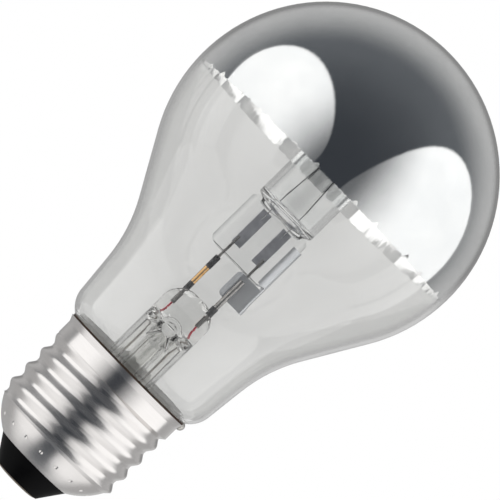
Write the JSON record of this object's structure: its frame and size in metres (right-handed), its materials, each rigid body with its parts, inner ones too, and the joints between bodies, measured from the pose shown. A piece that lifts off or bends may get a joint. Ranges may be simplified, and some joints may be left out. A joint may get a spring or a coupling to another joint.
{
  "type": "mirror top bulb",
  "caption": "Clear pear-shaped halogen lamp with a screw cap and a crown silvered inside, which throws the light of its quartz burner back past the cap.",
  "frame": {"origin": "centre of the centre contact's face, the lowest point of the lamp on its axis", "axes": "+Z along the lamp's axis from the cap to the crown; -Y faces the viewer of the picture and the flat front of the burner's pinch; +X is the side with the burner's clip and the side solder"},
  "size_m": [0.06, 0.06, 0.105],
  "materials": {
    "clear_glass": "clear, polished",
    "mirror_film": "silvered, seen through the glass",
    "cap_metal": "rolled sheet, satin",
    "insulator_glass": "black, glossy, opaque",
    "contact_metal": "pressed, dull",
    "solder": "dull solder",
    "cement": "matt",
    "stem_glass": "clear, fire polished",
    "lead_wire": "drawn wire",
    "seal_wire": "copper clad, red in the glass",
    "inner_wire": "drawn wire",
    "crimp_metal": "plated",
    "fuse_tube": "golden brown, glossy",
    "clip_metal": "folded sheet",
    "rod_metal": "bright",
    "quartz": "clear",
    "foil": "thin foil",
    "filament_wire": "coiled wire"
  },
  "bodies": {
    "root": {"glass_bulb": "clear_glass", "mirror_coating": "mirror_film", "screw_shell": "cap_metal", "insulator": "insulator_glass", "centre_contact": "contact_metal", "centre_solder": "solder", "side_solder": "solder", "cap_cement": "cement", "stem": "stem_glass", "contact_lead": "lead_wire", "side_lead": "lead_wire", "seal_wire_left": "seal_wire", "seal_wire_right": "seal_wire", "inner_lead_left": "inner_wire", "inner_lead_right": "inner_wire", "lower_crimp": "crimp_metal", "fuse_sleeve": "fuse_tube", "fuse_wire": "inner_wire", "upper_crimp": "crimp_metal", "support_crimp": "crimp_metal", "support_rod": "rod_metal", "burner_clip": "clip_metal", "burner": "quartz", "burner_lead_left": "inner_wire", "burner_lead_right": "inner_wire", "foil_left": "foil", "foil_right": "foil", "filament": "filament_wire"}
  },
  "joints": []
}
